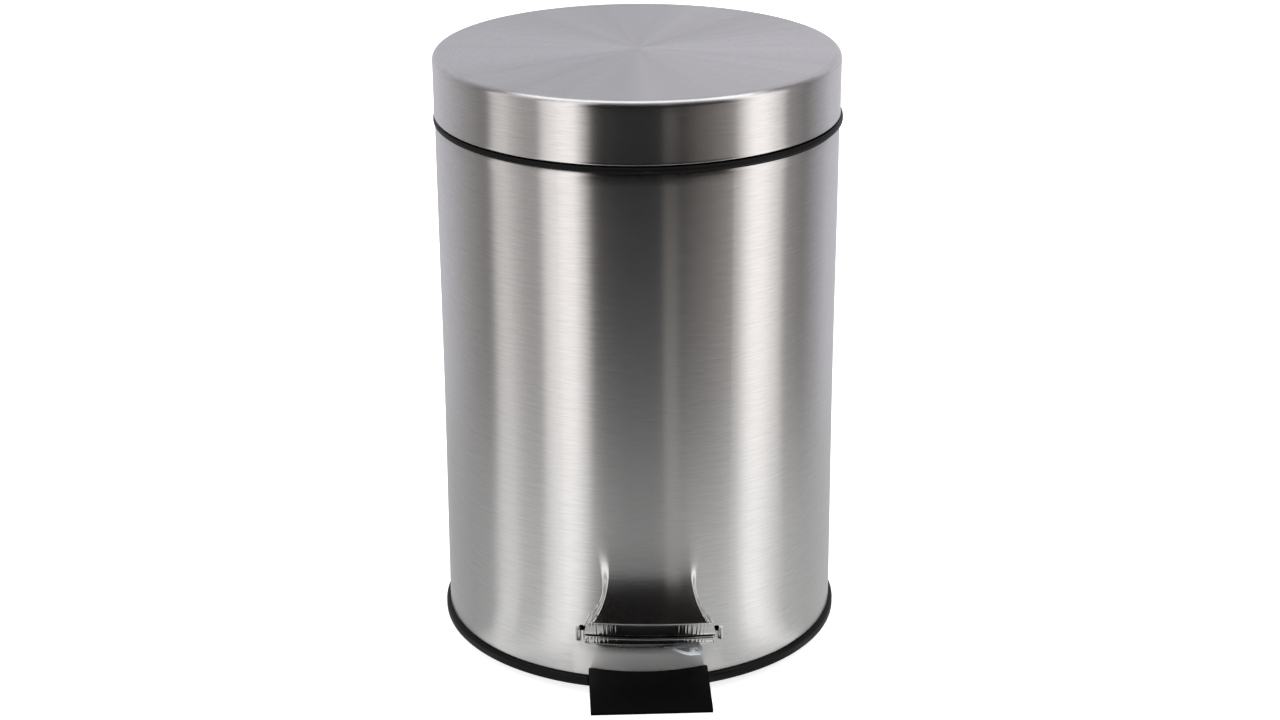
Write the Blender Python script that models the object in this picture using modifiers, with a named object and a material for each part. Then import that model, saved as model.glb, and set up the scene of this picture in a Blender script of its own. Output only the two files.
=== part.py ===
"""Three-litre pedal bin: brushed steel body and lid, black plastic base, rim and pedal pad,
a lift-out inner bucket with a wire bail, and the lever, push rod and hinge that open the lid.

All sizes below are millimetres; the mesh data is metres, +Z up.  The pedal points along -Y and
the lid hinge is at +Y.  The origin is on the floor at the centre of the bin's bounding box, so
the can's own axis stands at y = CAN_Y.
"""

import math

import bmesh
import bpy
from mathutils import Matrix, Vector

# ------------------------------------------------------------------ driving dimensions (mm)
MM = 0.001
GAP = 0.3            # clearance between touching pieces
SEGMENTS = 72        # steps round every large turned piece

BODY_R = 84.0        # outside of the steel body
BODY_T = 0.5
BODY_BOTTOM = 8.7
BODY_TOP = 226.2

BASE_R = 85.8        # bumper ring of the base tray
TRAY_BOTTOM = 4.0
TRAY_FLOOR = 5.6
UPSTAND_R = 83.2
UPSTAND_TOP = 18.6

RING_R = 85.0        # visible edge of the top collar
RING_TOP = 228.9
SHELF_TOP = 224.0
SHELF_R = 69.6

LID_R = 84.4
LID_T = 0.6
LID_BOTTOM = 229.4
LID_TOP = 255.2
LID_EDGE_R = 3.0

LID_AXIS = (90.2, 236.0)      # (y, z) of the lid hinge
LID_OPEN_DEG = 76.0
LEVER_AXIS = (-60.0, 13.5)    # (y, z) of the lever pivot
LEVER_RATIO = 0.1144          # lever turn for one turn of the lid
ROD_Y = 77.5
HOOK_LOW_Z = 12.2             # rod's lower hook, in the lever's rear ear
HOOK_TOP_Z = 226.08           # rod's upper hook, in the slot of the lid arm
ROD_R = 1.25
SLOT_DEG = 37.0               # direction of the lid arm's slot, below horizontal
SLOT_NEAR, SLOT_FAR = 12.9, 17.3
SLOT_HALF = 2.2

PAD_HALF = 24.65              # pedal pad
PAD_FRONT = 118.0
PAD_REAR = 86.0                # its hollowed rear edge at the middle, and at the corners
PAD_REAR_CORNER = 81.4
PAD_TOP_REAR = 12.8
PAD_TOP_FRONT = 11.9
PAD_BOTTOM = 8.9
PAD_NOSE = 10.5                # underside at the front edge

BUCKET_RIM_R = 72.8
BUCKET_TOP = 226.3
BUCKET_BOTTOM = 35.0
BAIL_Z = 230.6
BAIL_R = 74.6
BAIL_WIRE = 1.4
BAIL_DROOP = math.radians(3.76)

BRACKET_BACK = 95.2
CAN_Y = (PAD_FRONT - BRACKET_BACK) / 2.0

SLIT_HALF = 20.0              # half angle of the pressed mouth in the body's front, degrees
SLIT_LOW, SLIT_HIGH = 24.0, 31.0

# ------------------------------------------------------------------ start from an empty scene
for stale in list(bpy.data.objects):
    bpy.data.objects.remove(stale, do_unlink=True)

PARTS = bpy.data.collections.new("pedal_bin")
CUTTERS = bpy.data.collections.new("pedal_bin_cutters")
bpy.context.scene.collection.children.link(PARTS)
bpy.context.scene.collection.children.link(CUTTERS)

FINISHES = {
    "steel": ((0.62, 0.62, 0.61), 0.30, 1.0),
    "zinc": ((0.66, 0.69, 0.72), 0.38, 1.0),
    "wire": ((0.55, 0.56, 0.57), 0.28, 1.0),
    "black": ((0.012, 0.012, 0.013), 0.42, 0.0),
    "bucket": ((0.020, 0.020, 0.022), 0.50, 0.0),
    "rubber": ((0.022, 0.022, 0.022), 0.75, 0.0),
}


# ------------------------------------------------------------------ helpers
def material(name, kind):
    colour, rough, metal = FINISHES[kind]
    mat = bpy.data.materials.new(name + "_finish")
    mat.use_nodes = True
    shader = mat.node_tree.nodes["Principled BSDF"]
    shader.inputs["Base Color"].default_value = (*colour, 1.0)
    shader.inputs["Roughness"].default_value = rough
    shader.inputs["Metallic"].default_value = metal
    mat.diffuse_color = (*colour, 1.0)
    return mat


def place(obj, kind):
    """A part goes in the parts collection with its own finish; no kind means it is a cutter."""
    for home in list(obj.users_collection):
        home.objects.unlink(obj)
    if kind is None:
        CUTTERS.objects.link(obj)
        obj.hide_render = True
        obj.display_type = "WIRE"
    else:
        PARTS.objects.link(obj)
        obj.data.materials.clear()
        obj.data.materials.append(material(obj.name, kind))
    return obj


def from_bmesh(name, bm, kind, smooth=False):
    mesh = bpy.data.meshes.new(name)
    bm.to_mesh(mesh)
    bm.free()
    if smooth:
        mesh.shade_smooth()
        mesh.set_sharp_from_angle(angle=math.radians(35))
    obj = bpy.data.objects.new(name, mesh)
    obj.location = (0.0, CAN_Y * MM, 0.0)
    return place(obj, kind)


def box(name, lo, hi, kind=None):
    """Box between two corners given about the can's axis."""
    bm = bmesh.new()
    bmesh.ops.create_cube(bm, size=1.0)
    lo, hi = Vector(lo) * MM, Vector(hi) * MM
    for v in bm.verts:
        v.co = Vector([(lo[i] + hi[i]) / 2 + v.co[i] * (hi[i] - lo[i]) for i in range(3)])
    return from_bmesh(name, bm, kind)


def cylinder(name, centre, radius, length, axis="Z", steps=24, kind=None):
    bm = bmesh.new()
    bmesh.ops.create_cone(bm, cap_ends=True, segments=steps, radius1=radius * MM,
                          radius2=radius * MM, depth=length * MM)
    turn = {"Z": Matrix.Identity(4), "X": Matrix.Rotation(math.pi / 2, 4, "Y"),
            "Y": Matrix.Rotation(-math.pi / 2, 4, "X")}[axis]
    bm.transform(Matrix.Translation(Vector(centre) * MM) @ turn)
    return from_bmesh(name, bm, kind, smooth=True)


def turned(name, profile, kind, steps=SEGMENTS, matrix=None):
    """Closed (radius, height) profile turned by a Screw modifier.  It starts at the top and runs
    down its outer side.  A profile that begins and ends on the axis is left open there."""
    bm = bmesh.new()
    verts = [bm.verts.new((r * MM, 0.0, z * MM)) for r, z in profile]
    for a, b in zip(verts, verts[1:]):
        bm.edges.new((a, b))
    if profile[0][0] > 0 or profile[-1][0] > 0:
        bm.edges.new((verts[-1], verts[0]))
    obj = from_bmesh(name, bm, kind)
    screw = obj.modifiers.new("turn", "SCREW")
    screw.steps = steps
    screw.render_steps = steps
    screw.use_merge_vertices = True
    screw.merge_threshold = 0.00001
    screw.use_smooth_shade = True
    if matrix is not None:
        obj.data.transform(matrix)
        # the screw turns about the object's Z, so a tilted axis is set on the object instead
    return obj


def turned_at(name, profile, kind, origin, direction, steps=12):
    """Small turned piece (a screw, rivet, pin, foot) whose own Z lies along direction."""
    obj = turned(name, profile, kind, steps)
    obj.location = (Vector(origin) + Vector((0.0, CAN_Y, 0.0))) * MM
    obj.rotation_euler = Vector(direction).to_track_quat("Z", "Y").to_euler()
    return obj


def outline(name, points, low, high, kind, plane="XY"):
    """Flat outline given a thickness: a filled 2D curve with an extrude, made a mesh."""
    curve = bpy.data.curves.new(name, "CURVE")
    curve.dimensions = "2D"
    curve.fill_mode = "BOTH"
    curve.extrude = (high - low) / 2.0 * MM
    spline = curve.splines.new("POLY")
    spline.points.add(len(points) - 1)
    for p, (a, b) in zip(spline.points, points):
        p.co = (a * MM, b * MM, 0.0, 1.0)
    spline.use_cyclic_u = True
    sketch = bpy.data.objects.new(name + "_sketch", curve)
    bpy.context.scene.collection.objects.link(sketch)
    bpy.context.view_layer.update()
    evaluated = sketch.evaluated_get(bpy.context.evaluated_depsgraph_get())
    mesh = bpy.data.meshes.new_from_object(evaluated)
    bpy.data.objects.remove(sketch, do_unlink=True)
    bm = bmesh.new()
    bm.from_mesh(mesh)
    bpy.data.meshes.remove(mesh)
    bmesh.ops.remove_doubles(bm, verts=bm.verts, dist=0.000002)
    bmesh.ops.dissolve_limit(bm, angle_limit=math.radians(0.5), verts=bm.verts, edges=bm.edges)
    middle = (low + high) / 2.0 * MM
    if plane == "YZ":
        # local x -> world y, local y -> world z, thickness along x
        bm.transform(Matrix(((0, 0, 1, middle), (1, 0, 0, 0), (0, 1, 0, 0), (0, 0, 0, 1))))
    else:
        bm.transform(Matrix.Translation((0.0, 0.0, middle)))
    bmesh.ops.recalc_face_normals(bm, faces=bm.faces)
    return from_bmesh(name, bm, kind)


def wire(name, points, radius, kind, sides=2):
    """Round wire through the points, with filled ends, made a mesh."""
    curve = bpy.data.curves.new(name, "CURVE")
    curve.dimensions = "3D"
    curve.bevel_depth = radius * MM
    curve.bevel_resolution = sides
    curve.use_fill_caps = True
    spline = curve.splines.new("POLY")
    spline.points.add(len(points) - 1)
    for p, co in zip(spline.points, points):
        p.co = (co[0] * MM, co[1] * MM, co[2] * MM, 1.0)
    sketch = bpy.data.objects.new(name + "_sketch", curve)
    bpy.context.scene.collection.objects.link(sketch)
    bpy.context.view_layer.update()
    evaluated = sketch.evaluated_get(bpy.context.evaluated_depsgraph_get())
    mesh = bpy.data.meshes.new_from_object(evaluated)
    bpy.data.objects.remove(sketch, do_unlink=True)
    bm = bmesh.new()
    bm.from_mesh(mesh)
    bpy.data.meshes.remove(mesh)
    bmesh.ops.remove_doubles(bm, verts=bm.verts, dist=0.000005)
    bmesh.ops.recalc_face_normals(bm, faces=bm.faces)
    return from_bmesh(name, bm, kind, smooth=True)


def boolean(obj, tool, operation="DIFFERENCE"):
    mod = obj.modifiers.new(operation.lower() + "_" + tool.name, "BOOLEAN")
    mod.operation = operation
    mod.object = tool
    return obj


def cut(obj, *tools):
    for tool in tools:
        boolean(obj, tool)
    return obj


def join(obj, *tools):
    for tool in tools:
        boolean(obj, tool, "UNION")
    return obj


def arc(cx, cy, r, start, end, n):
    """Points on an arc, angles in degrees."""
    return [(cx + r * math.cos(math.radians(start + (end - start) * i / n)),
             cy + r * math.sin(math.radians(start + (end - start) * i / n))) for i in range(n + 1)]


def polar(azimuth, r, z):
    """A point at an azimuth measured from the pedal's direction, positive towards +X."""
    a = math.radians(azimuth)
    return (r * math.sin(a), -r * math.cos(a), z)


def axis_empty(name, y, z):
    empty = bpy.data.objects.new(name, None)
    empty.empty_display_size = 0.02
    empty.location = (0.0, (y + CAN_Y) * MM, z * MM)
    PARTS.objects.link(empty)
    return empty


def carry(empty, *objs):
    """Parent pieces to the empty on their joint's axis, leaving them where they are."""
    for obj in objs:
        obj.parent = empty
        obj.matrix_parent_inverse = Matrix.Translation(-Vector(empty.location))


# ------------------------------------------------------------------ steel body
def smooth_step(t):
    t = max(0.0, min(1.0, t))
    return t * t * (3.0 - 2.0 * t)


def mouth_bulge(azimuth, z):
    """How far the pressed hood and the lip under the slit stand out from the cylinder."""
    side = abs(azimuth)
    if z >= SLIT_HIGH:
        half = 10.8 + 6.4 * (1.0 - smooth_step((z - SLIT_HIGH - 2.0) / 24.0))
        rise = max(0.0, min(1.0, (78.0 - z) / 41.0)) ** 2.4
        if z < SLIT_HIGH + 1.0:
            rise *= 0.80
        return 6.4 * rise * max(0.0, min(1.0, (half + 1.3 - side) / 2.5))
    if z <= SLIT_LOW:
        ridge = max(0.0, 1.0 - abs(z - 22.4) / 2.6)
        return 2.2 * ridge * max(0.0, min(1.0, (SLIT_HALF + 0.6 - side) / 2.5))
    return 0.0


def make_body():
    fine, coarse = 2.5, 5.0
    azimuths = [-30.0 + fine * i for i in range(25)] + [35.0 + coarse * i for i in range(60)]
    heights = [BODY_BOTTOM, 13.0, 19.9, 21.9, 22.6, SLIT_LOW, SLIT_HIGH, 33.2, 37.0, 43.0,
               50.0, 58.0, 66.0, 78.0, BODY_TOP]
    bm = bmesh.new()
    bmesh.ops.create_grid(bm, x_segments=len(azimuths) - 1, y_segments=len(heights) - 1, size=0.5)
    nx, nz = len(azimuths) - 1, len(heights) - 1
    columns, rows = {}, {}
    for v in bm.verts:
        columns[v] = round((v.co.x + 0.5) * nx)
        rows[v] = round((v.co.y + 0.5) * nz)
    gone = []
    for f in bm.faces:
        mid = sum(azimuths[columns[v]] for v in f.verts) / 4.0
        low = min(rows[v] for v in f.verts)
        if abs(mid) < SLIT_HALF and heights[low] == SLIT_LOW:
            gone.append(f)                      # the slit
        if abs(mid) < 10.0 and low == 0:
            gone.append(f)                      # the lever's way out, behind the pad
        if 5.0 < mid < 17.5 and heights[low] == 19.9:
            gone.append(f)                      # the slot that the clip's tongue comes through
    bmesh.ops.delete(bm, geom=gone, context="FACES")
    plain = [e for e in bm.edges
             if rows[e.verts[0]] == rows[e.verts[1]] and len(e.link_faces) == 2
             and not -30.0 < (azimuths[columns[e.verts[0]]] + azimuths[columns[e.verts[1]]]) / 2 < 30.0]
    for v in bm.verts:
        a, z = azimuths[columns[v]], heights[rows[v]]
        v.co = Vector(polar(a, BODY_R + mouth_bulge(a, z), z)) * MM
    bmesh.ops.dissolve_edges(bm, edges=plain, use_verts=False)
    bmesh.ops.remove_doubles(bm, verts=bm.verts, dist=0.000005)
    stray = [v for v in bm.verts if len(v.link_edges) == 2
             and v.link_edges[0].calc_length() > 0
             and (v.link_edges[0].other_vert(v).co - v.co).angle(v.co - v.link_edges[1].other_vert(v).co) < 0.001]
    bmesh.ops.dissolve_verts(bm, verts=stray)
    bmesh.ops.recalc_face_normals(bm, faces=bm.faces)
    probe = max(bm.faces, key=lambda f: f.calc_center_median().x)
    if probe.normal.x < 0:
        bmesh.ops.reverse_faces(bm, faces=bm.faces)
    obj = from_bmesh("body_shell", bm, "steel", smooth=True)
    skin = obj.modifiers.new("sheet", "SOLIDIFY")
    skin.thickness = BODY_T * MM
    skin.offset = -1.0
    return obj


body_shell = make_body()
for side in (-1, 1):
    cut(body_shell, cylinder("body_screw_hole_%d" % (side + 2), (8.0 * side, 83.5, 211.0), 1.9, 8.0,
                             axis="Y", steps=12))

# ------------------------------------------------------------------ base tray and its feet
base_tray = turned("base_tray", [
    (0.0, TRAY_FLOOR)] + [(80.6, TRAY_FLOOR), (81.4, 6.4), (81.4, UPSTAND_TOP), (UPSTAND_R, UPSTAND_TOP),
    (UPSTAND_R, BODY_BOTTOM - GAP), (85.2, BODY_BOTTOM - GAP), (BASE_R, 7.8), (BASE_R, 4.8),
    (85.1, TRAY_BOTTOM), (0.0, TRAY_BOTTOM)], "black", steps=48)
pad_bay = box("pad_bay", (-PAD_HALF - 0.9, -92.0, 3.0), (PAD_HALF + 0.9, -74.0, 9.0))
cut(pad_bay, cylinder("pad_bay_core", (0.0, 0.0, 6.0), UPSTAND_R + 0.05, 20.0, steps=SEGMENTS))
cut(base_tray, pad_bay,
    box("lever_gate", (-15.6, -92.0, TRAY_FLOOR - 0.7), (15.6, -78.0, 40.0)))

FOOT_R = 66.0
for index, azimuth in enumerate((45.0, 135.0, 225.0, 315.0)):
    x, y, _ = polar(azimuth, FOOT_R, 0.0)
    name = "foot_" + ("front_right", "rear_right", "rear_left", "front_left")[index]
    turned_at(name, [(0.0, 7.1), (2.4, 7.1), (3.0, 6.5), (3.0, TRAY_FLOOR + GAP), (1.9, TRAY_FLOOR + GAP),
                     (1.9, TRAY_BOTTOM - GAP), (7.0, TRAY_BOTTOM - GAP), (7.0, 0.6), (6.4, 0.0), (0.0, 0.0)],
              "rubber", (x, y, 0.0), (0, 0, 1), steps=14)
    cut(base_tray, cylinder("foot_hole_%d" % index, (x, y, 5.0), 2.2, 8.0, steps=12))

# ------------------------------------------------------------------ lever pivot bracket
pivot_bracket = box("pivot_bracket", (-14.2, -68.0, 5.9), (14.2, -51.0, 17.6), "zinc")
cut(pivot_bracket,
    box("bracket_inside", (-13.0, -70.0, 7.1), (13.0, -49.0, 30.0)),
    cylinder("bracket_pin_hole", (0.0, LEVER_AXIS[0], LEVER_AXIS[1]), 2.06, 60.0, axis="X", steps=24))
pivot_pin = turned_at("pivot_pin", [(0.0, 33.6), (1.6, 33.6), (2.0, 33.2), (2.0, 1.6), (3.4, 1.6),
                                    (3.4, 0.3), (3.1, 0.0), (0.0, 0.0)], "wire",
                      (-16.2, LEVER_AXIS[0], LEVER_AXIS[1]), (1, 0, 0), steps=24)
pivot_pin_clip = turned_at("pivot_pin_clip", [(3.8, 0.8), (3.8, 0.0), (2.2, 0.0), (2.2, 0.8)], "zinc",
                           (14.6, LEVER_AXIS[0], LEVER_AXIS[1]), (1, 0, 0), steps=24)
for index, x in enumerate((-8.0, 8.0)):
    spot = (x, -55.0)
    turned_at("bracket_rivet_" + ("left", "right")[index],
              [(0.0, 5.2), (1.8, 5.2), (2.8, 4.5), (2.8, 4.3), (1.4, 4.3), (1.4, 0.8), (2.8, 0.8), (2.8, 0.4),
               (2.2, 0.0), (0.0, 0.0)], "zinc", (spot[0], spot[1], 3.0 - 0.1), (0, 0, 1))
    hole = cylinder("bracket_rivet_hole_%d" % index, (spot[0], spot[1], 5.0), 1.75, 12.0, steps=12)
    cut(base_tray, hole)
    cut(pivot_bracket, hole)

# ------------------------------------------------------------------ clip that hooks the body sheet
CLIP_AZIMUTH = 11.6
CLIP_TURN = Matrix.Rotation(math.radians(CLIP_AZIMUTH), 4, "Z")


def make_body_clip():
    """Bent strip: along the tray's floor, up behind the upstand, out through the body and down."""
    t = 0.8
    line = [(71.6, 6.4), (79.6, 6.4), (79.6, 20.9), (85.6, 20.9), (86.2, 16.0)]
    outer, inner = [], []
    for i, (r, z) in enumerate(line):
        before = Vector(line[max(i - 1, 0)])
        after = Vector(line[min(i + 1, len(line) - 1)])
        here = Vector((r, z))
        d1 = (here - before).normalized() if i else (after - here).normalized()
        d2 = (after - here).normalized() if i < len(line) - 1 else d1
        n1, n2 = Vector((-d1.y, d1.x)), Vector((-d2.y, d2.x))
        mitre = (n1 + n2).normalized()
        reach = (t / 2) / mitre.dot(n1)
        outer.append(here + mitre * reach)
        inner.append(here - mitre * reach)
    ring = outer + inner[::-1]
    points = [(-p.x, p.y) for p in ring]
    obj = outline("body_clip", points, -4.6, 4.6, "zinc", plane="YZ")
    obj.data.transform(CLIP_TURN)
    return obj


body_clip = make_body_clip()
tongue_round = box("tongue_round", (-9.0, -90.0, 12.0), (9.0, -84.6, 18.6))
tongue_round.data.transform(CLIP_TURN)
tongue_keep = cylinder("tongue_keep", (0.0, -86.0, 18.6), 4.6, 12.0, axis="Y", steps=24)
tongue_keep.data.transform(CLIP_TURN)
cut(tongue_round, tongue_keep)
cut(body_clip, tongue_round)
rivet_spot = polar(CLIP_AZIMUTH, 75.4, 0.0)
clip_hole = cylinder("clip_rivet_hole", (rivet_spot[0], rivet_spot[1], 5.0), 1.75, 12.0, steps=12)
cut(body_clip, clip_hole)
cut(base_tray, clip_hole)
turned_at("clip_rivet", [(0.0, 4.9), (1.8, 4.9), (2.8, 4.4), (2.8, 4.2), (1.4, 4.2), (1.4, 0.8), (2.8, 0.8),
                         (2.8, 0.4), (2.2, 0.0), (0.0, 0.0)], "zinc",
          (rivet_spot[0], rivet_spot[1], 2.9), (0, 0, 1))

# ------------------------------------------------------------------ pedal lever and pad
LEVER_LOW, LEVER_HIGH = 8.9, 10.1
half_outline = [(18.0, -112.0), (18.0, -91.0), (9.6, -87.5), (9.6, -69.0), (12.0, -66.5), (12.0, -46.0), (7.0, -36.0), (7.0, 80.5)]
pedal_lever = outline("pedal_lever",
                      [(x, y) for x, y in half_outline] + [(-x, y) for x, y in reversed(half_outline)],
                      LEVER_LOW, LEVER_HIGH, "zinc")
for side in (-1, 1):
    x0, x1 = sorted((10.4 * side, 11.6 * side))
    join(pedal_lever, outline("lever_ear_%d" % (side + 2),
                              [(-66.0, LEVER_LOW + 0.4), (-54.0, LEVER_LOW + 0.4), (-54.0, 12.0)]
                              + arc(LEVER_AXIS[0], LEVER_AXIS[1], 4.4, 20, 160, 8) + [(-66.0, 12.0)],
                              x0, x1, None, plane="YZ"))
join(pedal_lever, outline("lever_hook_ear",
                          [(73.6, LEVER_LOW + 0.4), (80.5, LEVER_LOW + 0.4), (80.5, 13.0)]
                          + arc(77.5, 12.8, 3.0, 25, 155, 6) + [(73.6, 12.0)], 4.2, 5.4, None, plane="YZ"))
cut(pedal_lever,
    cylinder("lever_pin_hole", (0.0, LEVER_AXIS[0], LEVER_AXIS[1]), 2.06, 40.0, axis="X", steps=24),
    cylinder("lever_hook_hole", (4.8, ROD_Y, HOOK_LOW_Z), ROD_R + 0.3, 6.0, axis="X", steps=16))

sag = PAD_REAR - PAD_REAR_CORNER
arc_r = (PAD_HALF ** 2 + sag ** 2) / (2.0 * sag)
arc_half = math.degrees(math.asin((PAD_HALF - 1.0) / arc_r))
pad_arc = [(x, y) for x, y in arc(0.0, arc_r - PAD_REAR, arc_r, -90.0 - arc_half, -90.0 + arc_half, 14)]
edge_y = pad_arc[0][1]
left_round = [(-PAD_HALF, edge_y - 1.0), (-PAD_HALF + 0.3, edge_y - 0.25)]
right_round = [(PAD_HALF - 0.3, edge_y - 0.25), (PAD_HALF, edge_y - 1.0)]
pedal_pad = outline("pedal_pad",
                    [(-PAD_HALF, -PAD_FRONT)] + left_round + pad_arc + right_round + [(PAD_HALF, -PAD_FRONT)],
                    PAD_BOTTOM, PAD_TOP_REAR, "black")
for v in pedal_pad.data.vertices:
    if v.co.z > 0.0105:
        along = (-v.co.y / MM - PAD_REAR_CORNER) / (PAD_FRONT - PAD_REAR_CORNER)
        v.co.z = (PAD_TOP_REAR + (PAD_TOP_FRONT - PAD_TOP_REAR) * along) * MM
cut(pedal_pad, outline("pad_nose", [(-PAD_FRONT - 1.0, PAD_NOSE + 0.47), (-PAD_FRONT - 1.0, 5.0), (-106.3, 5.0), (-114.6, PAD_BOTTOM)],
                       -30.0, 30.0, None, plane="YZ"))
cut(pedal_pad,
    box("pad_pocket", (-18.4, -112.4, 5.0), (18.4, -90.0, LEVER_HIGH + GAP)),
    box("pad_throat", (-10.2, -92.0, 5.0), (10.2, -80.0, LEVER_HIGH + GAP)))
for side in (-1, 1):
    gusset = outline("pad_gusset_%d" % (side + 2),
                     [(10.0 * side, -92.0), (18.4 * side, -92.0), (18.4 * side, -90.8), (10.0 * side, -86.9)],
                     5.0, LEVER_HIGH + GAP, None)
    cut(pedal_pad, gusset)
for index, x in enumerate((-11.0, 11.0)):
    turned_at("pad_rivet_" + ("left", "right")[index],
              [(0.0, 3.0), (1.1, 3.0), (1.1, 0.6), (2.4, 0.6), (2.0, 0.0), (0.0, 0.0)], "zinc",
              (x, -103.0, LEVER_LOW - GAP - 0.6), (0, 0, 1))
    cut(pedal_lever, cylinder("pad_rivet_hole_%d" % index, (x, -103.0, 9.5), 1.4, 6.0, steps=12))
    cut(pedal_pad, cylinder("pad_rivet_socket_%d" % index, (x, -103.0, 9.0), 1.4, 4.2, steps=12))

# ------------------------------------------------------------------ push rod
rod_path = [(8.2, ROD_Y, HOOK_LOW_Z), (3.0, ROD_Y, HOOK_LOW_Z)]
rod_path += [(x, ROD_Y, z) for x, z in arc(3.0, HOOK_LOW_Z + 3.0, 3.0, 270, 180, 5)][1:]
rod_path += [(0.0, ROD_Y, 80.0), (0.0, ROD_Y, 150.0)]
rod_path += [(x, ROD_Y, z) for x, z in arc(3.0, HOOK_TOP_Z - 3.0, 3.0, 180, 90, 5)]
rod_path += [(9.2, ROD_Y, HOOK_TOP_Z)]
push_rod = wire("push_rod", rod_path, ROD_R, "wire", sides=3)
rod_clip_top = turned_at("rod_clip_top", [(3.0, 0.7), (3.0, 0.0), (ROD_R + GAP, 0.0), (ROD_R + GAP, 0.7)], "zinc",
                         (6.8, ROD_Y, HOOK_TOP_Z), (1, 0, 0), steps=16)
rod_clip_low = turned_at("rod_clip_low", [(2.0, 0.7), (2.0, 0.0), (ROD_R + GAP, 0.0), (ROD_R + GAP, 0.7)], "zinc",
                         (6.3, ROD_Y, HOOK_LOW_Z), (1, 0, 0), steps=16)
for index, z in enumerate((70.0, 150.0)):
    guide = box("rod_guide_" + ("lower", "upper")[index], (-6.0, 73.4, z - 4.0), (6.0, 82.9, z + 4.0), "black")
    cut(guide, box("rod_guide_slot_%d" % index, (-1.65, 70.0, z - 6.0), (1.65, 79.3, z + 6.0)))

# ------------------------------------------------------------------ top collar
top_collar = turned("top_collar", [
    (84.5, RING_TOP), (RING_R, 228.4), (RING_R, BODY_TOP + GAP), (83.2, BODY_TOP + GAP), (83.2, 215.0),
    (81.6, 215.0), (81.6, 222.0), (SHELF_R, 222.0), (SHELF_R, SHELF_TOP), (80.0, SHELF_TOP), (80.0, RING_TOP)],
    "black")
cut(top_collar, box("arm_pocket", (-10.5, 72.0, 212.0), (10.5, 90.0, 232.0)))

# ------------------------------------------------------------------ hinge bracket behind the body
P_Y, P_Z = LID_AXIS
bracket_side = ([(79.0, 206.0), (92.6, 206.0), (95.2, 209.5)] + arc(P_Y, P_Z, 5.0, 0, 180, 10)
                + [(79.0, 231.0)])
hinge_bracket = outline("hinge_bracket", bracket_side, -12.5, 12.5, "black", plane="YZ")
bracket_front = cylinder("bracket_front", (0.0, 0.0, 217.0), BODY_R + GAP, 60.0, steps=SEGMENTS)
bracket_upper = cylinder("bracket_upper", (0.0, 0.0, 240.0), RING_R + GAP, 28.4, steps=SEGMENTS)
cut(hinge_bracket, bracket_front, bracket_upper,
    box("bracket_well", (-6.6, 70.0, 225.0), (6.6, 99.0, 250.0)),
    cylinder("bracket_axle_hole", (0.0, P_Y, P_Z), 2.06, 60.0, axis="X", steps=24))
for side in (-1, 1):
    cut(hinge_bracket, cylinder("bracket_screw_hole_%d" % (side + 2), (8.0 * side, 86.0, 211.0), 1.8, 12.0,
                                axis="Y", steps=12))
    turned_at("bracket_screw_" + ("left" if side < 0 else "right"),
              [(0.0, 11.4), (0.7, 11.4), (1.5, 10.4), (1.5, 1.8), (3.1, 1.8), (3.1, 0.9), (2.2, 0.0), (0.0, 0.0)],
              "zinc", (8.0 * side, 79.9, 211.0), (0, 1, 0))
hinge_pin = turned_at("hinge_pin", [(0.0, 28.2), (1.6, 28.2), (2.0, 27.8), (2.0, 1.5), (3.2, 1.5), (3.2, 0.4),
                                    (2.8, 0.0), (0.0, 0.0)], "wire", (-14.4, P_Y, P_Z), (1, 0, 0), steps=24)
hinge_pin_clip = turned_at("hinge_pin_clip", [(3.6, 0.7), (3.6, 0.0), (2.2, 0.0), (2.2, 0.7)], "zinc",
                           (12.8, P_Y, P_Z), (1, 0, 0), steps=24)

# ------------------------------------------------------------------ lid
edge = [(x, z) for x, z in arc(LID_R - LID_EDGE_R, LID_TOP - LID_EDGE_R, LID_EDGE_R, 90, 0, 5)]
inside = [(x, z) for x, z in arc(LID_R - LID_EDGE_R, LID_TOP - LID_EDGE_R, LID_EDGE_R - LID_T, 0, 90, 4)]
lid_shell = turned("lid_shell", [(0.0, LID_TOP)] + edge + [(LID_R, LID_BOTTOM), (LID_R - LID_T, LID_BOTTOM)]
                   + inside + [(0.0, LID_TOP - LID_T)], "steel")
cut(lid_shell, box("lid_notch", (-7.2, 74.0, 220.0), (7.2, 95.0, 244.4)))
lid_liner = turned("lid_liner", [
    (0.0, 254.0), (80.0, 254.0), (83.4, 250.6), (83.4, 230.2), (80.6, 230.2), (80.6, 231.6), (82.0, 231.6),
    (82.0, 250.2), (79.6, 252.4), (0.0, 252.4)], "black", steps=48)
cut(lid_liner, box("liner_notch", (-8.6, 74.0, 220.0), (8.6, 95.0, 244.4)))

slot_dir = Vector((-math.cos(math.radians(SLOT_DEG)), -math.sin(math.radians(SLOT_DEG))))
far_y, far_z = P_Y + slot_dir.x * SLOT_FAR, P_Z + slot_dir.y * SLOT_FAR
near_y, near_z = P_Y + slot_dir.x * SLOT_NEAR, P_Z + slot_dir.y * SLOT_NEAR
arm_side = ([(56.0, 250.5), (56.0, 252.0), (77.4, 252.0), (80.6, 249.0), (80.6, 243.8), (84.6, 243.2)]
            + arc(P_Y, P_Z, 4.4, 100, -100, 10)
            + [(85.6, 230.4), (81.8, 229.4)] + arc(far_y, far_z, 3.5, 10, -190, 10)
            + [(72.0, 234.0), (70.5, 244.0), (67.0, 250.5)])
lid_arm = outline("lid_arm", arm_side, -6.0, 6.0, "zinc", plane="YZ")
across = Vector((-slot_dir.y, slot_dir.x))
turn_deg = math.degrees(math.atan2(across.y, across.x))
slot_shape = (arc(far_y, far_z, SLOT_HALF, turn_deg, turn_deg - 180, 8)
              + arc(near_y, near_z, SLOT_HALF, turn_deg - 180, turn_deg - 360, 8))
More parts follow.
